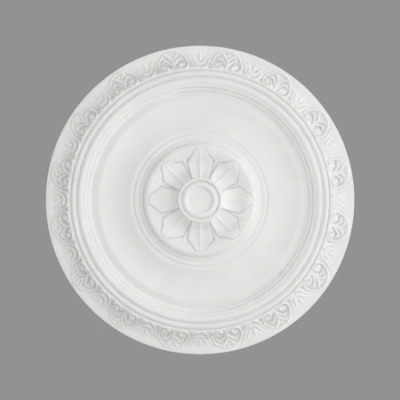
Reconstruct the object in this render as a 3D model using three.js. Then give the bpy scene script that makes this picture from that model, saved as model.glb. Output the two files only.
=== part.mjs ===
// Ceiling rose: a round moulded ornament, flat behind, with a flower in the middle,
// a plain dish around it and a border of sixteen arched palmettes.
// Millimetres, +Z up. The flat back is at z = 0 and faces up to the ceiling,
// the moulded face looks down, and the origin is the middle of the back.

import * as THREE from 'three';
import { mergeGeometries, mergeVertices } from 'three/addons/utils/BufferGeometryUtils.js';

// Driving sizes. A height is measured down from the back.
const ROSE_RADIUS = 245;
const RIM_THICKNESS = 4.6;
const TURN_STEPS = 64;
const MIDDLE_STEPS = 32;

// Back
const PAD_RADIUS = 38;
const GLUE_LAND = 24;
const BACK_RECESS = 2.4;
const RECESS_FALL = 3;

// Middle disc, the ring around it and the lip where the petals start
const DISC_RADIUS = 18;
const DISC_HEIGHT = 36.1;
const RING_OUTER = 28.2;
const FLOWER_INNER = 34.9;

// Flower
const PETAL_COUNT = 8;
const FLOWER_OUTER = 90.5;
const FLOWER_RIM_RADIUS = 82.6;
const FLOWER_FALL_RADIUS = 86.8;
const FLOWER_SCALE_RADIUS = 60;
const MIDRIB_RISE = 0.9;
const PETAL_HOLLOW = 0.7;
const PETAL_SIDE = 0.9;
const FULL_RELIEF_HALF = 9;
const EDGE_GROOVE = 1.4;
const GAP_GROOVE = 2.4;
const GAP_RADII = [37.4, 44.6, 51.5];

// Dish
const DISH_INNER = 115.8;
const DISH_OUTER = 158.6;
const DISH_BULGE = -2.6;

// Border
const MOTIF_COUNT = 16;
const BAND_INNER = 207.1;
const BAND_OUTER = 243;
const BAND_MIDDLE = 223;
const ARCH_RADIUS = 24.4;
const ARCH_CENTRE = 214.6;
const ARCH_TURNS = [0, 20, 40, 60, 80];
const ARCH_RISE = 2.3;
const FOOT_RISE = 1.5;
const INSIDE_GROOVE = 1.3;
const LEAF_GROOVE = 1.1;
const CURL_RADIUS = 7.6;
const CURL_SIDE = 16.6;
const CURL_CENTRE = 217;

// Drawing of the carved sheets
const CLOSEST_POINTS = 1.2;
const MOST_EDGE_TURNS = 400;

// Turned profiles. Each entry is a radius, a height and, where the stretch from the
// point before is round, how far it bulges (positive stands out) and its steps.
const DISC_PROFILE = [
  [0, DISC_HEIGHT],
  [DISC_RADIUS, DISC_HEIGHT],
  [RING_OUTER, 37.2, 2.2, 4],
  [29.5, 34.8],
  [FLOWER_INNER, 36.6, 1.9, 2],
];
const FLOWER_PROFILE = [
  [FLOWER_INNER, 36.6],
  [37.4, 33],
  [44.6, 27.9],
  [51.5, 25.3],
  [57.5, 25.2],
  [63.4, 26],
  [72, 28.2],
  [FLOWER_RIM_RADIUS, 29.5, 0.3, 2],
  [FLOWER_OUTER, 23.4, 1.5, 2],
];
const DISH_PROFILE = [
  [FLOWER_OUTER, 23.4],
  [92.5, 22.7],
  [97, 20.2],
  [102.5, 20.9],
  [105.6, 19.4],
  [110.1, 20.3],
  [DISH_INNER, 18.8],
  [DISH_OUTER, 18.4, DISH_BULGE, 3],
  [160.6, 18.5],
  [170, 16.4],
  [172.5, 17.8],
  [176.7, 19.4],
  [178.7, 21.6],
  [183.6, 23.2],
  [188.9, 24.3, 0.3, 2],
  [192.4, 23],
  [194.2, 20.6],
  [196, 22.2],
  [202, 22.3, 1.1, 2],
  [204.7, 20.8],
  [BAND_INNER, 22.3],
];
const BAND_PROFILE = [
  [BAND_INNER, 22.3],
  [215.2, 14.1, 1.1, 3],
  [238.9, 6.1, -2.9, 5],
  [BAND_OUTER, 5.6],
];
const BACK_PROFILE = [
  [BAND_OUTER, 5.6],
  [244.4, 5.4],
  [ROSE_RADIUS, RIM_THICKNESS],
  [ROSE_RADIUS, 0],
  [ROSE_RADIUS - GLUE_LAND, 0],
  [ROSE_RADIUS - GLUE_LAND - RECESS_FALL, BACK_RECESS],
  [PAD_RADIUS + RECESS_FALL, BACK_RECESS],
  [PAD_RADIUS, 0],
  [0, 0],
];

// Points of a profile, with its round stretches as arcs
function profilePoints(profile) {
  const points = [];
  for (const [radius, height, bulge = 0, steps = 1] of profile) {
    const end = new THREE.Vector2(radius, height);
    const start = points[points.length - 1];
    for (let step = 1; step < steps; step++) {
      const t = step / steps;
      const chord = end.clone().sub(start);
      const side = new THREE.Vector2(-chord.y, chord.x).normalize();
      const swell = 4 * t * (1 - t) * bulge;
      points.push(start.clone().addScaledVector(chord, t).addScaledVector(side, swell));
    }
    points.push(end);
  }
  return points;
}

// Height of a turned profile at a radius
function heightAt(points, radius) {
  for (let i = 1; i < points.length; i++) {
    const [a, b] = [points[i - 1], points[i]];
    if (radius <= b.x) {
      return THREE.MathUtils.lerp(a.y, b.y, (radius - a.x) / (b.x - a.x));
    }
  }
  return points[points.length - 1].y;
}

// A stretch of the surface that is turned about the middle
function turned(profile, steps) {
  const outline = profilePoints(profile).map((p) => new THREE.Vector2(p.x, -p.y));
  const surface = new THREE.LatheGeometry(outline, steps);
  surface.rotateX(Math.PI / 2);
  return surface;
}

// Where a point lies beside a line: above nothing when it is on the left
function leftOf(a, b, p) {
  return (b.x - a.x) * (p.y - a.y) - (b.y - a.y) * (p.x - a.x);
}

function cross(a, b, p, q) {
  return leftOf(a, b, p) * leftOf(a, b, q) < 0 && leftOf(p, q, a) * leftOf(p, q, b) < 0;
}

// Triangles between the points of a flat drawing, each with no other point in its circle
function triangulate(points) {
  const far = 1e5;
  const all = [...points, { x: -far, y: -far }, { x: far, y: -far }, { x: 0, y: far }];
  const circled = (corners) => {
    const [a, b, c] = corners.map((i) => all[i]);
    const d = 2 * leftOf(a, b, c);
    const [aa, bb, cc] = [a, b, c].map((p) => p.x * p.x + p.y * p.y);
    const x = (aa * (b.y - c.y) + bb * (c.y - a.y) + cc * (a.y - b.y)) / d;
    const y = (aa * (c.x - b.x) + bb * (a.x - c.x) + cc * (b.x - a.x)) / d;
    return { corners, x, y, reach: (a.x - x) ** 2 + (a.y - y) ** 2 };
  };
  const count = points.length;
  let triangles = [circled([count, count + 1, count + 2])];
  points.forEach((p, i) => {
    const open = triangles.filter((t) => (p.x - t.x) ** 2 + (p.y - t.y) ** 2 < t.reach);
    const edges = new Map();
    for (const { corners: [a, b, c] } of open) {
      for (const edge of [[a, b], [b, c], [c, a]]) {
        const key = [...edge].sort((m, n) => m - n).join(' ');
        edges.set(key, edges.has(key) ? null : edge);
      }
    }
    const border = [...edges.values()].filter((edge) => edge !== null);
    triangles = triangles.filter((t) => !open.includes(t));
    triangles.push(...border.map((edge) => circled([...edge, i])));
  });
  return triangles.map((t) => t.corners).filter((corners) => Math.max(...corners) < count);
}

// Turns the edges that cross a line of the drawing, until the line itself is an edge
function keepLine(points, triangles, from, to) {
  const [start, end] = [points[from], points[to]];
  for (let turn = 0; turn < MOST_EDGE_TURNS; turn++) {
    const swaps = [];
    let crossed = false;
    for (const [a, b, c] of triangles) {
      for (const [u, v, w] of [[a, b, c], [b, c, a], [c, a, b]]) {
        if (u < v && cross(start, end, points[u], points[v])) {
          crossed = true;
          const other = triangles.find((t) => t.includes(u) && t.includes(v) && !t.includes(w));
          const far = other.find((i) => i !== u && i !== v);
          if (cross(points[w], points[far], points[u], points[v])) {
            swaps.push([u, v, w, far]);
          }
        }
      }
    }
    if (!crossed) {
      return;
    }
    const [u, v, w, far] = swaps[turn % swaps.length];
    const pair = triangles.filter((t) => t.includes(u) && t.includes(v));
    pair[0].splice(0, 3, w, far, u);
    pair[1].splice(0, 3, w, far, v);
  }
  throw new Error(`line from ${start.x}, ${start.y} to ${end.x}, ${end.y} can't be kept`);
}

// A sheet of carving, drawn flat for half a motif: x along the turn, y the radius. The
// drawing is closed in by the turned surface on both sides.
class Sheet {
  constructor(motifs, scaleRadius, inner, outer, profile) {
    this.motifs = motifs;
    this.scaleRadius = scaleRadius;
    this.width = scaleRadius * Math.PI / motifs;
    this.ground = profilePoints(profile);
    this.points = [];
    this.lines = [];
    for (const [radius, steps] of [inner, outer]) {
      const perHalf = steps / motifs / 2;
      for (let i = 0; i <= perHalf; i++) {
        this.point(this.width * i / perHalf, radius, 0);
      }
    }
  }

  // Number of the point at a place, which is a new one unless one lies close
  point(x, y, rise) {
    const edge = [0, this.width].find((side) => Math.abs(x - side) < CLOSEST_POINTS / 2);
    const place = { x: edge ?? x, y, height: heightAt(this.ground, y) + rise };
    const near = this.points.findIndex((p) => Math.hypot(p.x - place.x, p.y - y) < CLOSEST_POINTS);
    return near < 0 ? this.points.push(place) - 1 : near;
  }

  // A crest or a groove through stations of a place and a rise above the ground
  line(stations) {
    const numbers = stations.map(([x, y, rise]) => this.point(x, y, rise));
    for (let i = 1; i < numbers.length; i++) {
      if (numbers[i] !== numbers[i - 1]) {
        this.lines.push([numbers[i - 1], numbers[i]]);
      }
    }
  }

  // The drawing repeated and mirrored around the rose
  surface(firstAngle) {
    const triangles = triangulate(this.points);
    for (const [from, to] of this.lines) {
      keepLine(this.points, triangles, from, to);
    }
    const corners = [];
    for (let motif = 0; motif < this.motifs; motif++) {
      const middle = firstAngle + 2 * Math.PI * motif / this.motifs;
      for (const side of [1, -1]) {
        for (const triangle of triangles) {
          const [p, q, r] = triangle.map((i) => this.points[i]);
          const order = leftOf(p, q, r) * side > 0 ? [p, q, r] : [p, r, q];
          for (const { x, y, height } of order) {
            const angle = middle + side * x / this.scaleRadius;
            corners.push(y * Math.sin(angle), -y * Math.cos(angle), -height);
          }
        }
      }
    }
    const surface = new THREE.BufferGeometry();
    surface.setAttribute('position', new THREE.Float32BufferAttribute(corners, 3));
    return surface;
  }
}

// Stations on an arc about a centre, from one turn to another in degrees, with the turn
// counted from the outward direction towards the side
function arcStations(centreX, centreY, radius, turns, rise) {
  return turns.map((turn) => {
    const a = THREE.MathUtils.degToRad(turn);
    return [centreX + radius * Math.sin(a), centreY + radius * Math.cos(a), rise];
  });
}

// The arch over a palmette: a quarter circle from its crown down to its side, then a small
// curl that turns in at the foot. The offset moves the line off the arch's crest.
function archStations(offset, curlTurns, rise) {
  return [
    ...arcStations(0, ARCH_CENTRE, ARCH_RADIUS + offset, ARCH_TURNS, rise),
    ...arcStations(CURL_SIDE, CURL_CENTRE, CURL_RADIUS + offset, curlTurns, rise),
  ];
}

// Crests: the arch with the lobe that its curl ends in, the palmette inside it, the two
// strands between one arch and the next, and the bud that the strands hold
const CRESTS = [
  [
    ...archStations(0, [122], ARCH_RISE),
    ...arcStations(CURL_SIDE, CURL_CENTRE, CURL_RADIUS, [160, 205], FOOT_RISE),
    [8.6, 213.4, 2.2], [13, 216.5, 2.2], [17.2, 216.3, 1.4],
  ],
  [[0, 215.4, 2.2], [0, 221.2, 2.4], [0, 227.9, 2], [0, 230.5, 0]],
  [[0, 215.4, 2.2], [4.4, 220.6, 2.5], [9, 224.8, 2.4], [14, 226, 2.2], [18.6, 223, 1]],
  [[0, 221.2, 2.4], [3.6, 228.5, 2.1], [7, 232.6, 2], [10.4, 235.3, 1.6]],
  [[22.6, 234.2, 0.3], [28.4, 225.4, 1.8], [31.6, 216.1, 2], [34.6, 211, 1.8], [40, 209.3, FOOT_RISE]],
  [[29.4, 233.8, 0.3], [34.4, 225.7, 1.6], [38, 218.4, 1.8], [43.8, 216.3, 1.9]],
  [[43.8, 222, 0.9], [43.8, 227.5, 1.8], [43.8, 234.8, 0.4]],
];
// Grooves: outside and inside the arch, under and over the lower leaf, the pocket over the
// palmette, beside the inner strand, and around the bud
const GROOVES = [
  [...archStations(2, [118, 146], 0)],
  [...archStations(-3.3, [125, 165, 210], -INSIDE_GROOVE), [10.8, 212.5, -INSIDE_GROOVE]],
  [[3.2, 212.6, -0.6], [5.6, 216.4, -LEAF_GROOVE], [9.2, 220.4, -LEAF_GROOVE], [14.4, 221.8, -LEAF_GROOVE],
    [20.6, 220.8, -INSIDE_GROOVE]],
  [[2.6, 223, -0.8], [6, 226.8, -LEAF_GROOVE], [10.3, 229.9, -LEAF_GROOVE], [15.4, 229.5, -INSIDE_GROOVE]],
  [[0, 233.7, 0.9], [3.9, 235.8, -0.7]],
  [[26.4, 231.5, 0], [29, 222, -0.4], [27.2, 213.6, -INSIDE_GROOVE]],
  [[31, 226, 0], [34.2, 217.9, -0.6], [38, 213.8, -LEAF_GROOVE], [43.8, 213.6, -LEAF_GROOVE]],
  [[33.4, 232.8, 0], [38.6, 227, -0.3], [41, 221.5, -0.7], [43.8, 220.4, -0.7]],
];

function borderSurface() {
  const edge = (radius) => [radius, TURN_STEPS];
  const sheet = new Sheet(MOTIF_COUNT, BAND_MIDDLE, edge(BAND_INNER), edge(BAND_OUTER), BAND_PROFILE);
  for (const stations of [...CRESTS, ...GROOVES]) {
    sheet.line(stations);
  }
  return sheet.surface(Math.PI / MOTIF_COUNT);
}

// Petal: a radius, a half width along the turn and the height of its surface there
const PETAL = [
  [37.4, 13.6, 34],
  [44.6, 16.2, 28.8],
  [51.5, 18.2, 26.2],
  [57.5, 19.5, 26.1],
  [63.4, 20.2, 27],
  [68.8, 14.9, 28.4],
  [75.2, 10, 29.8],
  [81.8, 0, 29.9],
];

// Leaf that shows between two petals: a radius and how far its middle stands above the ground
const BACK_LEAF = [
  [57.5, 0.2],
  [63.4, 0.5],
  [72, 0.8],
  [79.8, 0.2],
];

function flowerSurface() {
  const sheet = new Sheet(PETAL_COUNT, FLOWER_SCALE_RADIUS, [FLOWER_INNER, MIDDLE_STEPS],
    [FLOWER_OUTER, TURN_STEPS], FLOWER_PROFILE);
  const flat = (across, radius) => across * FLOWER_SCALE_RADIUS / radius;
  const station = (across, radius, height) => {
    return [flat(across, radius), radius, height - heightAt(sheet.ground, radius)];
  };
  const swell = (half) => Math.min(1, half / FULL_RELIEF_HALF);
  const wide = PETAL.filter(([, half]) => half > 0);
  sheet.line(GAP_RADII.map((r) => [sheet.width, r, -GAP_GROOVE]));
  sheet.line(PETAL.map(([r, half, height]) => station(0, r, height + MIDRIB_RISE * swell(half))));
  sheet.line(PETAL.map(([r, half, height]) => station(half, r, height)));
  sheet.line(wide.map(([r, half, height]) => station(half / 2, r, height - PETAL_HOLLOW * swell(half))));
  const feet = wide.map(([r, half]) => [flat(half + PETAL_SIDE, r), r, -EDGE_GROOVE]);
  sheet.line([...feet, [0, FLOWER_RIM_RADIUS, 0]]);
  sheet.line(BACK_LEAF.map(([r, rise]) => [sheet.width, r, rise]));
  const rim = [0, 0.25, 0.5, 0.75, 1].map((share) => [share * sheet.width, FLOWER_RIM_RADIUS, 0]);
  sheet.line(rim);
  sheet.line(rim.map(([x]) => [x, FLOWER_FALL_RADIUS, 0]));
  return sheet.surface(0);
}

// The whole rose as one closed surface
function ceilingRose() {
  const stretches = [
    turned(DISC_PROFILE, MIDDLE_STEPS),
    flowerSurface(),
    turned(DISH_PROFILE, TURN_STEPS),
    borderSurface(),
    turned(BACK_PROFILE, TURN_STEPS),
  ];
  const bare = stretches.map((stretch) => {
    const plain = stretch.index ? stretch.toNonIndexed() : stretch;
    const surface = new THREE.BufferGeometry();
    surface.setAttribute('position', plain.getAttribute('position'));
    return surface;
  });
  const welded = mergeVertices(mergeGeometries(bare), 1e-3);
  const index = welded.getIndex().array;
  const kept = [];
  for (let i = 0; i < index.length; i += 3) {
    const [a, b, c] = index.slice(i, i + 3);
    if (a !== b && b !== c && c !== a) {
      kept.push(a, b, c);
    }
  }
  welded.setIndex(kept);
  welded.computeVertexNormals();
  return welded;
}

const whitePrimer = new THREE.MeshStandardMaterial({
  name: 'white primer',
  color: 0xe9e9e7,
  roughness: 0.6,
  metalness: 0,
});

const rose = new THREE.Mesh(ceilingRose(), whitePrimer);
rose.name = 'ceiling_rose';

const group = new THREE.Group();
group.add(rose);

export default group;
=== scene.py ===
# %% [markdown]
# A moulded ceiling rose
#
# This lesson models a round ceiling ornament, 490 mm across, that is moulded in rigid foam
# and primed white. It hangs with its flat back up against the ceiling, so its carved face
# looks down. The lesson goes from the turned rings to the leaf border, the middle flower,
# the finish, and last the light and the camera. First the measured solid is loaded. It
# gives the frame that every piece has to fit.

import bpy
import math
import numpy as np
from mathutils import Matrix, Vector


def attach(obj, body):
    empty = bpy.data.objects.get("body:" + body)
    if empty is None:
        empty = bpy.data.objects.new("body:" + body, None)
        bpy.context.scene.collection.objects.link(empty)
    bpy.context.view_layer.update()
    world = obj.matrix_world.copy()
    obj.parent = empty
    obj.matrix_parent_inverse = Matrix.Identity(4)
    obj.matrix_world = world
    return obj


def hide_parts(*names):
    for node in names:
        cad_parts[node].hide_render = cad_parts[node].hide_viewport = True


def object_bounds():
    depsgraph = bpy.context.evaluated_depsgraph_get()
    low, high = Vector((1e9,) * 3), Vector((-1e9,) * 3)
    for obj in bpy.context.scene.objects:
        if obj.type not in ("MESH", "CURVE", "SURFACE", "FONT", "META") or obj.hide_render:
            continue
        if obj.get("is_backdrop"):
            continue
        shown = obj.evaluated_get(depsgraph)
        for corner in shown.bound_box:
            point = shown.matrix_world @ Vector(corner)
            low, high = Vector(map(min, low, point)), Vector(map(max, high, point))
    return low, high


def print_box(name, low, high):
    print(name, [round(value, 4) for value in low], [round(value, 4) for value in high])


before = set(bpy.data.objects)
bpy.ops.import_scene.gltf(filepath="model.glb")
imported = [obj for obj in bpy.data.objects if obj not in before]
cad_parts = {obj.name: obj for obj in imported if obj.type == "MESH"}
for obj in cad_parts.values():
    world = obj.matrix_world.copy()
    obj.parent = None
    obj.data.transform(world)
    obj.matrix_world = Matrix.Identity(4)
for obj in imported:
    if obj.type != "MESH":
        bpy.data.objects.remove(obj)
solid_low, solid_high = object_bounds()
print("nodes of the solid:", list(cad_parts))
print_box("solid box:", solid_low, solid_high)

# %% [markdown]
# Everything on the rose is placed by three numbers: an angle around the middle, a radius
# and a height. The angle starts at -Y, the top of the picture. A height is measured down
# from the flat back, the way a fitter would hold a rule to it, so a bigger height hangs
# lower. One helper turns the angle and the two lengths in millimetres into a place in
# Blender's metres. An operator acts on all that is selected, so a second helper selects the
# shapes to work on and nothing else.

# %% Places and choices
MM = 0.001
FULL_TURN = 2 * math.pi


def place(angle, radius, height):
    return Vector((radius * math.sin(angle), -radius * math.cos(angle), -height)) * MM


def choose(*shapes):
    """Selects these shapes alone and makes the first one active. With none, it deselects all."""
    bpy.ops.object.select_all(action="DESELECT")
    for shape in shapes:
        shape.select_set(True)
    if shapes:
        bpy.context.view_layer.objects.active = shapes[0]


# %% [markdown]
# The turned rings
#
# A plaster workshop would run these rings with a template cut to their profile, turned
# about a pin in the middle. Blender's Spin does the same with a drawn line. The flower and
# the border are pieces of their own, because a turned line can't carve them. They meet the
# body at seams that lie in creases of the moulding, where nobody sees them. Each seam is
# given by its radius and its height.

# %% Sizes and seams
ROSE_RADIUS = 245
RIM_THICKNESS = 4.6
DISC_RADIUS = 18
DISC_HEIGHT = 36.1

FLOWER_INNER = (34.9, 36.6)
FLOWER_OUTER = (90.5, 23.4)
BORDER_INNER = (204.7, 20.65)
BORDER_OUTER = (243, 5.6)

# %% [markdown]
# The profiles follow the solid's and add the narrow creases between its rings. Each station
# gives a radius and a height and, where the stretch that leads to it is round, how far that
# stretch stands out. A hollow one stands out by less than nothing.

# %% Profiles of the face
DISC_PROFILE = [
    (0, DISC_HEIGHT),
    (DISC_RADIUS, DISC_HEIGHT),
    (28.2, 37.2, 2.2),
    (29.5, 34.6),
    (30.6, 37.2),
    (32.8, 38, 0.2),
    (*FLOWER_INNER, 0.5),
]
FLOWER_PROFILE = [
    FLOWER_INNER,
    (37.4, 33),
    (44.6, 27.9),
    (51.5, 25.3),
    (57.5, 25.2),
    (63.4, 26),
    (72, 28.2),
    (82.6, 29.5, 0.3),
    (*FLOWER_OUTER, 1.5),
]
DISH_PROFILE = [
    FLOWER_OUTER,
    (92.5, 22.7),
    (97, 20.2),
    (99.6, 20.3),
    (102.5, 20.9),
    (105.1, 19.3),
    (106.6, 19.7),
    (110.1, 20.3),
    (115.8, 18.8),
    (158.6, 18.4, -2.6),
    (160.6, 18.5),
    (169.5, 16.5),
    (171.5, 15.7),
    (172.5, 17.8),
    (176, 19.3),
    (177.5, 18.2),
    (178.5, 21.5),
    (182.4, 23.1, 0.2),
    (183.9, 22.7),
    (184.8, 23.8),
    (189.8, 24.4, 0.25),
    (192.7, 23.3, 0.2),
    (194.6, 19.7),
    (195.7, 21.9),
    (199.3, 23.6, 0.3),
    (203, 22.1, 0.4),
    BORDER_INNER,
]
BORDER_PROFILE = [
    BORDER_INNER,
    (206, 21.9),
    (207.1, 22.3),
    (215.2, 14.1, 1.1),
    (238.9, 6.1, -2.9),
    BORDER_OUTER,
]

# %% [markdown]
# The back has a flat land for the glue along its edge, a pad in the same plane in the
# middle, and a shallow recess between them, so that the rose also sits flat on a ceiling
# that isn't quite even.

# %% Profile of the back
GLUE_LAND = 24
PAD_RADIUS = 38
RECESS = 2.4
RECESS_FALL = 3

BACK_PROFILE = [
    BORDER_OUTER,
    (244.4, 5.4),
    (ROSE_RADIUS, RIM_THICKNESS),
    (ROSE_RADIUS, 0),
    (ROSE_RADIUS - GLUE_LAND, 0),
    (ROSE_RADIUS - GLUE_LAND - RECESS_FALL, RECESS),
    (PAD_RADIUS + RECESS_FALL, RECESS),
    (PAD_RADIUS, 0),
    (0, 0),
]

# %% [markdown]
# A profile is first drawn with close points, five to the millimetre. A round stretch is
# drawn as a parabola over its chord, which is close to an arc when it is this shallow.

# %% Draw a profile
DRAW_STEP = 0.2


def stretch_points(start, station):
    end = np.array(station[:2], float)
    bulge = station[2] if len(station) > 2 else 0
    chord = end - start
    steps = max(2, round(np.hypot(*chord) / DRAW_STEP))
    side = np.array((-chord[1], chord[0])) / np.hypot(*chord)
    share = np.arange(1, steps + 1)[:, None] / steps
    return start + chord * share + side * 4 * share * (1 - share) * bulge


def drawn(profile):
    points = [np.array([profile[0][:2]], float)]
    for station in profile[1:]:
        points.append(stretch_points(points[-1][-1], station))
    return np.concatenate(points)


# %% [markdown]
# A moulding never has knife edges: the foam skin and the primer round every corner by half
# a millimetre or so. Rather than bevel each corner by hand, the close points are blurred
# along the line. To keep the ends where they are, the line is first run on past them.

# %% Soften a profile
SOFTNESS = 0.35
BLUR_REACH = 3


def run_on(points, count):
    """Runs a line on past both ends by its own first and last points, turned about the ends."""
    before = 2 * points[0] - points[count:0:-1]
    after = 2 * points[-1] - points[-2:-count - 2:-1]
    return np.concatenate([before, points, after])


def softened(points):
    reach = math.ceil(BLUR_REACH * SOFTNESS / DRAW_STEP)
    weights = np.exp(-0.5 * (np.arange(-reach, reach + 1) * DRAW_STEP / SOFTNESS) ** 2)
    weights /= weights.sum()
    longer = run_on(points, reach)
    blurred = [np.convolve(longer[:, axis], weights, mode="valid") for axis in (0, 1)]
    return np.stack(blurred, axis=1)


# %% [markdown]
# The blurred line has far more points than it needs. It is thinned, so that flat stretches
# keep few points and corners keep many.

# %% Thin a profile
LONGEST_STEP = 5
LEAST_TURN = math.radians(4)


def direction(start, end):
    return math.atan2(end[1] - start[1], end[0] - start[0])


def thinned(points):
    """Keeps a point only where the line has turned enough, or run far enough, since the last."""
    kept = [points[0]]
    for here, after in zip(points[1:], points[2:]):
        turn = direction(here, after) - direction(kept[-1], here)
        turn = abs((turn + math.pi) % FULL_TURN - math.pi)
        if turn > LEAST_TURN or np.hypot(*(here - kept[-1])) > LONGEST_STEP:
            kept.append(here)
    return [*kept, points[-1]]


# %% [markdown]
# A line is drawn in edit mode, as by hand: a plane is shrunk to one vertex, and that vertex
# is extruded from place to place.

# %% Draw a line
SEED_SIZE = 0.01


def start_edit(shape):
    choose(shape)
    bpy.ops.object.mode_set(mode="EDIT")
    bpy.ops.mesh.select_mode(type="VERT")
    bpy.ops.mesh.select_all(action="SELECT")


def draw_line(name, places):
    choose()
    bpy.ops.mesh.primitive_plane_add(size=SEED_SIZE)
    line = bpy.context.object
    line.name = name
    line.data.name = name
    start_edit(line)
    bpy.ops.mesh.merge(type="CENTER")
    bpy.ops.transform.translate(value=places[0])
    for here, there in zip(places, places[1:]):
        bpy.ops.mesh.extrude_region_move(TRANSFORM_OT_translate={"value": there - here})
    bpy.ops.object.mode_set(mode="OBJECT")
    return line


# %% [markdown]
# Spin then turns the line about the middle of the rose. A long Spin gets slower with every
# step, so only one wedge is spun, and Spin with its copying turned on sets more wedges
# around the rose. Welded at their edges, they make one surface.

# %% Spin a line
WELD = 1e-6
WEDGES = 16
ABOUT_MIDDLE = {"center": (0, 0, 0), "axis": (0, 0, 1)}


def copy_round(shape, count):
    """Copies a shape around the rose until there are count of it."""
    start_edit(shape)
    angle = FULL_TURN * (count - 1) / count
    bpy.ops.mesh.spin(steps=count - 1, dupli=True, angle=angle, **ABOUT_MIDDLE)
    bpy.ops.object.mode_set(mode="OBJECT")
    return shape


def turn_line(name, stations, steps):
    """Draws a line through stations of radius and height and turns it about the middle."""
    line = draw_line(name, [place(0, radius, height) for radius, height in stations])
    start_edit(line)
    bpy.ops.mesh.spin(steps=steps // WEDGES, angle=FULL_TURN / WEDGES, **ABOUT_MIDDLE)
    bpy.ops.object.mode_set(mode="OBJECT")
    copy_round(line, WEDGES)
    start_edit(line)
    bpy.ops.mesh.remove_doubles(threshold=WELD)
    bpy.ops.mesh.normals_make_consistent(inside=False)
    bpy.ops.object.mode_set(mode="OBJECT")
    print(name, "faces:", len(line.data.polygons))
    return line


# %% [markdown]
# The body is one closed shell: the rings in front, the rim, and the back. Under the flower
# and under the border it runs deeper than their ground, as a seat for those two pieces that
# lies behind the deepest of their grooves.

# %% Turn the body
BODY_STEPS = 360
SEAT = 5


def sunk(profile):
    return [(radius, height - SEAT, *bulge) for radius, height, *bulge in profile]


stretches = [
    softened(drawn(DISC_PROFILE)),
    drawn(sunk(FLOWER_PROFILE)),
    softened(drawn(DISH_PROFILE)),
    drawn(sunk(BORDER_PROFILE)),
    softened(drawn(BACK_PROFILE)),
]
outline = [station for stretch in stretches for station in thinned(stretch)]
print("profile points:", len(outline))
body = turn_line("rose_body", outline, BODY_STEPS)

# %% [markdown]
# The leaf border
#
# Sixteen palmettes stand under arches on the sloping band. On the real rose they are low,
# round strokes, pressed up as one skin with the ground. So each stroke is first drawn as a
# tapered tube, and later one fine sheet is laid over all of them. A stroke's stations give
# how far it lies from the middle line of its motif, its radius on the rose, half its width
# and how far its crest stands above the ground. The motif's other half is its mirror image.

# %% Strokes of one half motif
MOTIF_COUNT = 16
BAND_MIDDLE = 223

STROKES = {
    "arch": [
        (0, 239.0, 1.7, 1.6), (6.3, 238.3, 1.7, 1.6), (12.2, 235.7, 1.8, 1.6),
        (17.3, 231.8, 1.9, 1.8), (21.1, 226.6, 1.9, 2.0), (23.4, 221.7, 1.9, 2.0),
        (24.2, 216.4, 1.9, 2.1), (22.6, 211.9, 1.9, 2.0), (19.2, 209.1, 1.9, 1.4),
        (15.4, 208.4, 2.0, 1.3), (11.4, 209.3, 2.1, 1.4), (8.7, 212.1, 2.1, 1.6),
        (10.1, 215.3, 2.2, 1.9), (14.0, 216.7, 2.5, 2.0), (18.2, 216.1, 1.2, 1.6),
    ],
    "stem": [(0, 213.2, 2.2, 1.8), (0, 218.1, 2.2, 2.2), (0, 223.3, 1.6, 2.2), (0, 228.2, 1.0, 1.7)],
    "lower_leaf": [
        (0.8, 214.6, 1.2, 1.4), (1.9, 217.3, 1.5, 1.7), (4.3, 220.6, 1.8, 2.1),
        (7.4, 223.7, 2.3, 2.4), (10.9, 225.7, 2.5, 2.6), (14.0, 225.8, 2.5, 2.5),
        (16.7, 224.4, 2.0, 2.0), (18.7, 222.6, 0.9, 1.3),
    ],
    "upper_leaf": [
        (0.6, 220.9, 0.9, 1.4), (1.6, 224.0, 1.2, 1.8), (2.9, 227.5, 1.6, 2.0),
        (4.9, 230.6, 2.0, 2.2), (7.4, 232.7, 2.3, 2.2), (10.0, 234.0, 1.4, 1.5),
    ],
    "drop": [(0, 232.3, 0.6, 1.1), (0, 234.2, 1.1, 1.6), (0, 236.4, 0.8, 1.4)],
    "inner_strand": [
        (21.8, 233.5, 0.8, 0.5), (25.7, 229.2, 1.2, 1.2), (28.6, 224.6, 1.4, 1.6),
        (30.7, 219.6, 1.4, 1.7), (31.9, 215.3, 1.4, 1.9), (33.8, 211.8, 1.5, 1.7),
        (37.3, 209.2, 1.8, 1.4), (41.2, 209.0, 1.4, 1.2),
    ],
    "outer_strand": [
        (27.2, 234.5, 0.7, 0.4), (31.1, 230.2, 1.1, 1.0), (34.0, 226.0, 1.3, 1.4),
        (35.8, 222.1, 1.4, 1.6), (37.3, 218.8, 1.4, 1.7), (39.7, 216.8, 1.4, 1.8),
        (43.8, 216.2, 1.3, 1.7),
    ],
    "bud": [
        (43.8, 220.7, 1.0, 0.9), (43.8, 224.0, 1.7, 1.4), (43.8, 227.9, 1.9, 1.6),
        (43.8, 234.7, 0.6, 0.5),
    ],
    "bud_side": [(40.4, 223.9, 0.6, 0.7), (38.9, 228.6, 1.2, 1.0), (37.3, 231.9, 0.6, 0.4)],
}

# %% [markdown]
# Between its stations a stroke has to flow, in place, in width and in height alike. A
# Catmull-Rom curve passes through every station, so what is measured stays true.

# %% Flow between stations
FLOW_STEPS = 6


def flowing(stations, steps=FLOW_STEPS):
    stations = np.array(stations, float)
    longer = run_on(stations, 1)
    rows = []
    for before, here, there, after in zip(longer, longer[1:], longer[2:], longer[3:]):
        leave, arrive = (there - before) / 2, (after - here) / 2
        for step in range(steps):
            t = step / steps
            rows.append(
                (2 * t**3 - 3 * t**2 + 1) * here + (t**3 - 2 * t**2 + t) * leave
                + (3 * t**2 - 2 * t**3) * there + (t**3 - t**2) * arrive
            )
    return np.array([*rows, stations[-1]])


# %% [markdown]
# A curve with a round bevel makes the tubes, and its points carry the widths. The curves
# are turned into meshes and joined, because the sheet needs one shape to lie on.

# %% Tubes
TUBE_RINGS = 3


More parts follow.
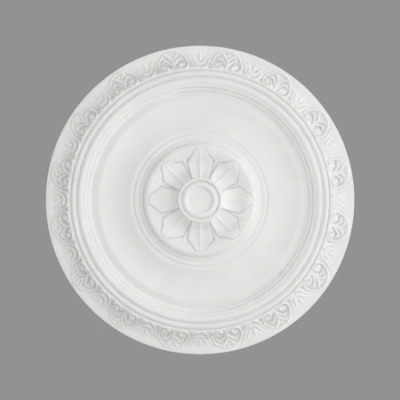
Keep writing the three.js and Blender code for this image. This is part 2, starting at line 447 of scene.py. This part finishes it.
def tube(name, places, half_widths):
    choose()
    bpy.ops.curve.primitive_nurbs_path_add(radius=1, location=(0, 0, 0))
    path = bpy.context.object
    path.name = name
    path.data.splines.clear()
    spline = path.data.splines.new("POLY")
    spline.points.add(len(places) - 1)
    for point, spot, half_width in zip(spline.points, places, half_widths):
        point.co = (*spot, 1)
        point.radius = half_width
    path.data.bevel_depth = MM
    path.data.bevel_resolution = TUBE_RINGS
    path.data.use_fill_caps = True
    bpy.ops.object.convert(target="MESH")
    return bpy.context.object


def join(name, parts):
    choose(*parts)
    bpy.ops.object.join()
    joined = bpy.context.object
    joined.name = name
    joined.data.name = name
    return joined


# %% [markdown]
# Each tube is sunk into the ground until only its crest stands as high as its stations say.
# Both halves of one motif are modelled, and the motif is then copied around the rose. The
# first one stands half a motif's turn away from the top of the picture.

# %% Model the strokes
def model_strokes(name, strokes, ground_profile, count, across_radius=None):
    """Distances across a motif are measured at one radius, or else at each station's own."""
    ground = drawn(ground_profile)
    middle = math.pi / count
    tubes = []
    for stroke, stations in strokes.items():
        rows = flowing(stations)
        for side in (1, -1):
            spots = [
                place(middle + side * across / (across_radius or radius), radius,
                      float(np.interp(radius, ground[:, 0], ground[:, 1])) + rise - half_width)
                for across, radius, half_width, rise in rows
            ]
            tubes.append(tube(f"{stroke}_{side}", spots, rows[:, 2]))
    modelled = copy_round(join(name, tubes), count)
    print(name, "faces:", len(modelled.data.polygons))
    return modelled


strokes = model_strokes("strokes", STROKES, BORDER_PROFILE, MOTIF_COUNT, BAND_MIDDLE)

# %% [markdown]
# The sheet is a ring of small squares, turned from a straight line that lies well in front
# of the rose. Shrinkwrap moves every point straight back until it meets the first surface:
# a stroke, or the ground between the strokes. The ground is turned too, and it runs on a
# little past both edges, so that the edges of the sheet meet it.

# %% Lay a sheet over the carving
FRONT_CLEAR = 60
GROUND_OVERRUN = 0.5


def edge_radii(profile):
    return profile[0][0], profile[-1][0]


def turned_ground(name, profile):
    line = softened(drawn(profile))
    before = line[0] + (line[0] - line[1]) * GROUND_OVERRUN / DRAW_STEP
    after = line[-1] + (line[-1] - line[-2]) * GROUND_OVERRUN / DRAW_STEP
    return turn_line(name, thinned(np.array([before, *line, after])), BODY_STEPS)


def lay_sheet(name, shapes, profile, rings, steps):
    ground = turned_ground(name + "_ground", profile)
    radii = np.linspace(*edge_radii(profile), rings + 1)
    sheet = turn_line(name, [(radius, FRONT_CLEAR) for radius in radii], steps)
    carving = join(name + "_carving", [*shapes, ground])
    choose(sheet)
    wrap = sheet.modifiers.new("wrap", "SHRINKWRAP")
    wrap.target = carving
    wrap.wrap_method = "PROJECT"
    wrap.use_project_z = True
    wrap.use_positive_direction = True
    wrap.use_negative_direction = False
    bpy.ops.object.modifier_apply(modifier=wrap.name)
    bpy.data.objects.remove(carving)
    return sheet


# %% [markdown]
# The strokes alone would look like cords laid on a plate. In the mould the spaces between
# them are cut deeper than the ground, so each leaf and lobe stands free. These grooves are
# lines too: each station has a turn away from the motif's middle line, a radius, half the
# width there and a depth. A vertex of the sheet takes the depth of the deepest groove it
# lies in, which is full along the line and fades out towards both sides.

# %% Weigh the grooves
def vertex_places(shape):
    """The places of a mesh's vertices in metres, a row for each."""
    places = np.empty(3 * len(shape.data.vertices))
    shape.data.vertices.foreach_get("co", places)
    return places.reshape(-1, 3)


def groove_depths(shape, grooves, motifs, first_angle):
    x, y, _ = vertex_places(shape).T
    radii = np.hypot(x, y) / MM
    half_motif = math.pi / motifs
    turns = np.arctan2(x, -y) - first_angle
    turns = np.abs((turns + half_motif) % (2 * half_motif) - half_motif)
    across, along = radii * np.sin(turns), radii * np.cos(turns)
    depths = np.zeros(len(radii))
    for groove in grooves:
        for turn, radius, half_width, depth in flowing(groove):
            gap = np.hypot(across - radius * math.sin(turn), along - radius * math.cos(turn))
            fade = np.clip(1 - (gap / half_width) ** 2, 0, 1) ** 2
            depths = np.maximum(depths, depth * fade)
    return depths


# %% [markdown]
# A vertex group holds the depths as weights, and Displace presses the sheet back by them.

# %% Press the grooves
def press_grooves(sheet, depths):
    deepest = float(depths.max())
    weights = sheet.vertex_groups.new(name="grooves")
    for index in np.flatnonzero(depths):
        weights.add([int(index)], depths[index] / deepest, "REPLACE")
    choose(sheet)
    press = sheet.modifiers.new("press", "DISPLACE")
    press.vertex_group = weights.name
    press.direction = "Z"
    press.mid_level = 0
    press.strength = deepest * MM
    bpy.ops.object.modifier_apply(modifier=press.name)
    sheet.vertex_groups.clear()
    print(sheet.name, "deepest groove:", round(deepest, 2))


# %% [markdown]
# One smoothing in edit mode rounds the corners between strokes, grooves and ground, which
# is how the primed foam looks. The two edges of the sheet stay where they are, on the seams.

# %% Smooth a sheet
EDGE_MARGIN = 0.1
SMOOTHING = 0.5


def choose_vertices(shape, least_radius, most_radius):
    """Selects the vertices between two radii and leaves the shape in edit mode."""
    start_edit(shape)
    bpy.ops.mesh.select_all(action="DESELECT")
    bpy.ops.object.mode_set(mode="OBJECT")
    x, y, _ = vertex_places(shape).T
    radii = np.hypot(x, y) / MM
    chosen = (radii > least_radius) & (radii < most_radius)
    shape.data.vertices.foreach_set("select", chosen)
    bpy.ops.object.mode_set(mode="EDIT")
    print(shape.name, "vertices chosen:", int(chosen.sum()))


def smooth_inside(sheet, profile):
    inner, outer = edge_radii(profile)
    choose_vertices(sheet, inner + EDGE_MARGIN, outer - EDGE_MARGIN)
    bpy.ops.mesh.vertices_smooth(factor=SMOOTHING, repeat=1)
    bpy.ops.object.mode_set(mode="OBJECT")


# %% [markdown]
# The sheet is open behind, and a part needs closed shells. Its two edges are extruded back
# into the body, and the ends of those walls are bridged with a floor that nobody sees.

# %% Close a sheet behind
def close_behind(sheet, profile, floor_heights):
    for radius, height in zip(edge_radii(profile), floor_heights):
        choose_vertices(sheet, radius - EDGE_MARGIN, radius + EDGE_MARGIN)
        bpy.ops.mesh.extrude_region_move()
        bpy.ops.transform.resize(value=(1, 1, 0), center_override=(0, 0, -height * MM))
        bpy.ops.object.mode_set(mode="OBJECT")
    start_edit(sheet)
    bpy.ops.mesh.select_all(action="DESELECT")
    bpy.ops.mesh.select_non_manifold()
    bpy.ops.mesh.bridge_edge_loops()
    bpy.ops.mesh.select_all(action="SELECT")
    bpy.ops.mesh.normals_make_consistent(inside=False)
    bpy.ops.object.mode_set(mode="OBJECT")
    print(sheet.name, "triangles:", sum(len(face.vertices) - 2 for face in sheet.data.polygons))


# %% [markdown]
# The grooves of the border run along its strokes: inside and outside the arch, over and
# under the lower leaf, and between the strands. Short ones part the curl, the foot of the
# strands, the bud, the crown and the tip of the stem. Like the strokes, they are measured
# across the motif in millimetres.

# %% Grooves of one half motif
BORDER_GROOVES = {
    "inside_arch": [
        (11.9, 234.6, 0.9, 0.6), (13.6, 231.3, 1.2, 1.7), (16.9, 227.4, 1.4, 3.6),
        (20.1, 221.9, 1.6, 4.8), (21.2, 217.7, 1.5, 4.5), (20.6, 214.3, 1.4, 4.4),
        (17.9, 211.6, 1.4, 4.4), (14.6, 211.1, 1.4, 4.2), (10.6, 212.0, 1.2, 3.0),
    ],
    "over_leaf": [
        (1.9, 222.0, 1.1, 2.2), (4.1, 224.6, 1.2, 3.4), (7.4, 228.0, 1.3, 4.0),
        (10.3, 229.8, 1.3, 3.9), (13.2, 230.6, 1.3, 3.0),
    ],
    "under_leaf": [
        (3.1, 212.6, 1.2, 2.8), (5.5, 216.6, 1.4, 4.7), (8.8, 220.6, 1.4, 4.9),
        (11.7, 222.2, 1.4, 4.9), (14.6, 222.2, 1.4, 4.7), (18.3, 220.7, 1.4, 4.5),
    ],
    "beside_curl": [(27.0, 216.4, 1.2, 2.0), (27.3, 213.4, 1.8, 4.4), (28.6, 210.4, 1.7, 3.6)],
    "outside_arch": [
        (0, 241.3, 0.9, 0.5), (7.4, 241.0, 0.9, 0.5), (13.2, 239.0, 0.9, 0.8),
        (19, 234.8, 1.1, 1.3), (24.1, 227.9, 1.2, 1.9), (27, 221.8, 1.2, 2.2),
        (27.4, 217.0, 1.2, 2.2),
    ],
    "between_strands": [
        (43.8, 213.6, 1.5, 4.0), (39.4, 213.8, 1.5, 4.0), (35.9, 215.2, 1.4, 3.6),
        (33.9, 219.1, 1.2, 2.6), (32.1, 222.5, 1.1, 1.4),
    ],
    "strand_foot": [(43.8, 210.4, 1.3, 3.0), (42.4, 210.6, 1.1, 1.8)],
    "bud": [
        (43.8, 220.2, 1.5, 3.0), (40.9, 221.1, 1.3, 2.4), (39.4, 225.3, 1.2, 1.8),
        (38.4, 228.3, 1.0, 0.8),
    ],
    "crown_pocket": [(2.9, 235.6, 1.3, 3.0), (5.6, 235.9, 1.2, 2.6)],
    "notch": [(0, 229.4, 1.0, 3.0), (0, 230.8, 1.0, 3.0)],
}

# %% [markdown]
# The squares of the border's sheet are just under a millimetre wide. Most strokes are three
# to six of them across, which is enough to look round once the sheet is smoothed. Its floor
# slopes with the band and lies behind the body's seat.

# %% Make the border
BORDER_STEPS = 1760
BORDER_RINGS = 46
BORDER_FLOOR = (4.4, 0.3)

border_grooves = [
    [(across / BAND_MIDDLE, *rest) for across, *rest in groove]
    for groove in BORDER_GROOVES.values()
]
border = lay_sheet("rose_border", [strokes], BORDER_PROFILE, BORDER_RINGS, BORDER_STEPS)
press_grooves(border, groove_depths(border, border_grooves, MOTIF_COUNT, math.pi / MOTIF_COUNT))
smooth_inside(border, BORDER_PROFILE)
close_behind(border, BORDER_PROFILE, BORDER_FLOOR)

# %% [markdown]
# The middle flower
#
# Eight pointed petals spread from the ring. Each is a curved tongue with a raised middle
# rib, a hollow on each side of it and a slightly raised edge. A petal's stations give its
# radius on the rose, half its width, its height and how strong its relief is there. Its
# section gives shares of that half width and of that relief.

# %% Stations and section of a petal
PETAL_COUNT = 8
PETAL = [
    (34.6, 13.2, 36.2, 0.9),
    (36.4, 13.8, 34.9, 0.9),
    (38.2, 14.6, 33.3, 1),
    (41.1, 15.7, 31.0, 1),
    (44.1, 16.6, 28.8, 1),
    (48.1, 17.7, 26.9, 0.9),
    (51.9, 18.6, 26.2, 0.8),
    (56.0, 19.4, 26.1, 0.7),
    (59.8, 19.9, 26.4, 0.65),
    (61.9, 19.0, 26.8, 0.6),
    (64.0, 17.6, 27.3, 0.55),
    (66.6, 15.4, 28.0, 0.5),
    (69.2, 13.1, 28.7, 0.45),
    (72.3, 11.1, 29.5, 0.4),
    (76.2, 8.8, 30.1, 0.3),
    (79.4, 5.9, 30.1, 0.2),
    (81.6, 1.6, 29.9, 0.1),
]
HALF_SECTION = [
    (-1, -0.5), (-0.94, 0.15), (-0.86, 0.3), (-0.7, 0.1),
    (-0.5, -0.35), (-0.3, -0.6), (-0.19, -0.45), (-0.1, 0.35),
]
RIB_CREST = (0, 0.9)
SECTION = [*HALF_SECTION, RIB_CREST, *((-across, up) for across, up in reversed(HALF_SECTION))]

# %% [markdown]
# The petal is lofted: its section is drawn once and extruded outwards from station to
# station, and at each one the new row is resized to the width and the relief there.

# %% Loft the petals
PETAL_FLOW_STEPS = 3


def loft_petal(name):
    rows = flowing(PETAL, PETAL_FLOW_STEPS)
    radius, half_width, height, relief = rows[0]
    line = [
        Vector((across * half_width, -radius, -(height + up * relief))) * MM
        for across, up in SECTION
    ]
    petal = draw_line(name, line)
    start_edit(petal)
    for here, there in zip(rows, rows[1:]):
        step = Vector((0, here[0] - there[0], here[2] - there[2])) * MM
        bpy.ops.mesh.extrude_region_move(TRANSFORM_OT_translate={"value": step})
        grow = (there[1] / here[1], 1, there[3] / here[3])
        middle = Vector((0, -there[0], -there[2])) * MM
        bpy.ops.transform.resize(value=grow, center_override=middle)
    bpy.ops.object.mode_set(mode="OBJECT")
    return petal


petals = copy_round(loft_petal("petals"), PETAL_COUNT)
print("petals faces:", len(petals.data.polygons))

# %% [markdown]
# Behind the petals lies a second ring of leaves, of which only the tips show, one in each
# gap. A leaf has a low stem in its middle and two faint folds on each side. They are drawn
# with the same tapered tubes as the border's strokes.

# %% Leaves between the petals
BACK_LEAF = {
    "middle": [
        (0, 57.5, 1.0, 0.3), (0, 61, 1.7, 0.7), (0, 66, 2.4, 0.6), (0, 72, 2.8, 0.4),
        (0, 78, 2.0, 0.2),
    ],
    "fold": [
        (3.6, 64, 1.4, 0.2), (6.6, 68, 2.4, 0.45), (9.4, 72, 2.8, 0.5), (11.2, 76, 2.4, 0.35),
        (11.8, 79, 1.4, 0.1),
    ],
    "outer_fold": [
        (13.6, 70.4, 1.2, 0.2), (16.2, 73.6, 2.2, 0.4), (18, 77, 2.0, 0.3), (19, 79.6, 1.2, 0.1),
    ],
}

back_leaves = model_strokes("back_leaves", BACK_LEAF, FLOWER_PROFILE, PETAL_COUNT)

# %% [markdown]
# One groove runs around each petal. Its stations give degrees from the petal's middle line,
# then the radius, half the width and the depth. Near the ring the grooves of two petals
# meet in one dark gap. The first petal points to the top of the picture.

# %% Make the flower
FLOWER_STEPS = 640
FLOWER_RINGS = 84
FLOWER_FLOOR = (18, 18)

PETAL_GROOVE = [
    (21.6, 37.2, 1.3, 2.7), (21.4, 44, 1.4, 3.7), (20.8, 51.9, 1.5, 3.6),
    (19.8, 58.5, 1.5, 3.2), (18.7, 64.4, 1.6, 3.6), (15, 68.3, 1.5, 2.9),
    (11.3, 71, 1.4, 2.6), (8.6, 74.9, 1.3, 2.2), (5.6, 80.2, 1.2, 1.5), (0, 82.6, 1.0, 0.5),
]

petal_groove = [(math.radians(degrees), *rest) for degrees, *rest in PETAL_GROOVE]
flower = lay_sheet(
    "rose_flower", [petals, back_leaves], FLOWER_PROFILE, FLOWER_RINGS, FLOWER_STEPS
)
press_grooves(flower, groove_depths(flower, [petal_groove], PETAL_COUNT, 0))
smooth_inside(flower, FLOWER_PROFILE)
close_behind(flower, FLOWER_PROFILE, FLOWER_FLOOR)

# %% [markdown]
# The three pieces stand for the one moulded solid, and they belong to its one body. Smooth
# shading hides the small faces, and corners sharper than the given angle stay crisp.

# %% Take the solid's place
SHARP_ANGLE = math.radians(50)

for piece in (body, border, flower):
    choose(piece)
    bpy.ops.object.shade_smooth_by_angle(angle=SHARP_ANGLE)
    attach(piece, "root")
    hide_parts("ceiling_rose")

# %% [markdown]
# The finish
#
# The face has a factory primer: a matte white with faint clouds, where it went on thicker,
# and a very slight orange peel from the spray. Both can be had from noise. It reads Object
# coordinates, which are fixed to the piece and in metres, so the scale is true.

# %% Noise on a piece
def new_material(name):
    material = bpy.data.materials.new(name)
    material.use_nodes = True
    return material, material.node_tree.nodes["Principled BSDF"]


def noise(tree, scale, detail):
    coordinates = tree.nodes.new("ShaderNodeTexCoord")
    texture = tree.nodes.new("ShaderNodeTexNoise")
    texture.inputs["Scale"].default_value = scale
    texture.inputs["Detail"].default_value = detail
    tree.links.new(coordinates.outputs["Object"], texture.inputs["Vector"])
    return texture.outputs["Fac"]


# %% [markdown]
# The clouds drive the colour and the roughness together, because a thicker coat is a trace
# whiter and duller. The peel is far too fine to model, so it only bends the light as bump.

# %% White primer
PRIMER_WHITE = (0.80, 0.80, 0.795, 1)
PRIMER_THIN = (0.765, 0.765, 0.757, 1)
LEAST_ROUGHNESS = 0.52
MOST_ROUGHNESS = 0.66
CLOUD_SCALE = 22
CLOUD_DETAIL = 3
CLOUD_EDGES = (0.3, 0.62)
PEEL_SCALE = 900
PEEL_DETAIL = 2
PEEL_STRENGTH = 0.12
PEEL_DEPTH = 0.0003


def white_primer():
    material, shader = new_material("white_primer")
    tree = material.node_tree
    clouds = noise(tree, CLOUD_SCALE, CLOUD_DETAIL)
    tint = tree.nodes.new("ShaderNodeValToRGB")
    stops = zip(tint.color_ramp.elements, CLOUD_EDGES, (PRIMER_THIN, PRIMER_WHITE))
    for stop, position, colour in stops:
        stop.position = position
        stop.color = colour
    tree.links.new(clouds, tint.inputs["Fac"])
    tree.links.new(tint.outputs["Color"], shader.inputs["Base Color"])
    dullness = tree.nodes.new("ShaderNodeMapRange")
    dullness.inputs["To Min"].default_value = LEAST_ROUGHNESS
    dullness.inputs["To Max"].default_value = MOST_ROUGHNESS
    tree.links.new(clouds, dullness.inputs["Value"])
    tree.links.new(dullness.outputs["Result"], shader.inputs["Roughness"])
    peel = tree.nodes.new("ShaderNodeBump")
    peel.inputs["Strength"].default_value = PEEL_STRENGTH
    peel.inputs["Distance"].default_value = PEEL_DEPTH
    tree.links.new(noise(tree, PEEL_SCALE, PEEL_DETAIL), peel.inputs["Height"])
    tree.links.new(peel.outputs["Normal"], shader.inputs["Normal"])
    return material


primer = white_primer()
for piece in (body, border, flower):
    piece.data.materials.clear()
    piece.data.materials.append(primer)

# %% [markdown]
# Room, light and camera
#
# The rose is seen as one sees it on a ceiling, from straight below. The room's pale floor
# lies under the camera and is so wide that its edge is never in the picture.

# %% Floor
FLOOR_DEPTH = 3.2
FLOOR_SIZE = 60
FLOOR_GREY = (0.63, 0.63, 0.63, 1)
FLOOR_ROUGHNESS = 0.8

choose()
bpy.ops.mesh.primitive_plane_add(size=FLOOR_SIZE, location=(0, 0, -FLOOR_DEPTH))
floor = bpy.context.object
floor.name = "floor"
floor_material, floor_shader = new_material("pale_floor")
floor_shader.inputs["Base Color"].default_value = FLOOR_GREY
floor_shader.inputs["Roughness"].default_value = FLOOR_ROUGHNESS
floor.data.materials.append(floor_material)
floor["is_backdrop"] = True

# %% [markdown]
# Low relief shows best in light that grazes it. The key light stands low on the right of
# the picture, and weaker ones at its top and bottom light the slopes that it misses. A
# small one in front lifts the shadows, and one above the rose is for views of the back.
# Each is given by its degrees clockwise from the top of the picture, its degrees away from
# the camera, its distance and width in metres and its power in watts.

# %% Lights
LIGHTS = {
    "key_light": (80, 75, 7.8, 4.8, 375),
    "top_light": (-10, 75, 7.8, 4.8, 108),
    "bottom_light": (170, 75, 7.8, 4.8, 108),
    "front_light": (0, 0, 3.1, 1.4, 50),
    "back_light": (-45, 145, 2.6, 2.0, 40),
}


def soft_light(name, turn, tilt, distance, size, power):
    turn, tilt = math.radians(turn), math.radians(tilt)
    across = math.sin(tilt)
    toward = Vector((math.sin(turn) * across, -math.cos(turn) * across, -math.cos(tilt)))
    choose()
    bpy.ops.object.light_add(type="AREA", location=toward * distance)
    light = bpy.context.object
    light.name = name
    light.data.shape = "SQUARE"
    light.data.size = size
    light.data.energy = power
    light.rotation_euler = (-toward).to_track_quat("-Z", "Y").to_euler()
    light.visible_camera = False


for name, settings in LIGHTS.items():
    soft_light(name, *settings)

# %% [markdown]
# The world is the plain grey that shows around the rose, and it fills the shadows evenly.

# %% Room
ROOM_GREY = (0.287, 0.287, 0.287, 1)

world = bpy.data.worlds.new("room")
bpy.context.scene.world = world
world.use_nodes = True
world.node_tree.nodes["Background"].inputs["Color"].default_value = ROOM_GREY
bpy.context.scene.view_settings.view_transform = "Standard"

# %% [markdown]
# The camera looks straight up at the middle. Its lens is worked out so that the rim, at its
# distance, fills the same share of the picture's width as in the photograph.

# %% Camera
SENSOR = 36
PICTURE_PIXELS = 400
ROSE_PIXELS = 308.6
CAMERA_DISTANCE = 2.5
CAMERA_REACH = 50

bpy.ops.object.camera_add(location=(0, 0, -CAMERA_DISTANCE))
camera = bpy.context.object
camera.name = "camera"
camera.rotation_euler = (math.pi, 0, 0)
camera.data.sensor_width = SENSOR
rose_share = ROSE_PIXELS / PICTURE_PIXELS
rim_distance = CAMERA_DISTANCE - RIM_THICKNESS * MM
camera.data.lens = SENSOR * rose_share * rim_distance / (2 * ROSE_RADIUS * MM)
camera.data.clip_end = CAMERA_REACH
bpy.context.scene.camera = camera
print("lens:", round(camera.data.lens, 1))

# %% Sizes of what is shown
shown_low, shown_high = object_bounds()
print_box("shown box:", shown_low, shown_high)
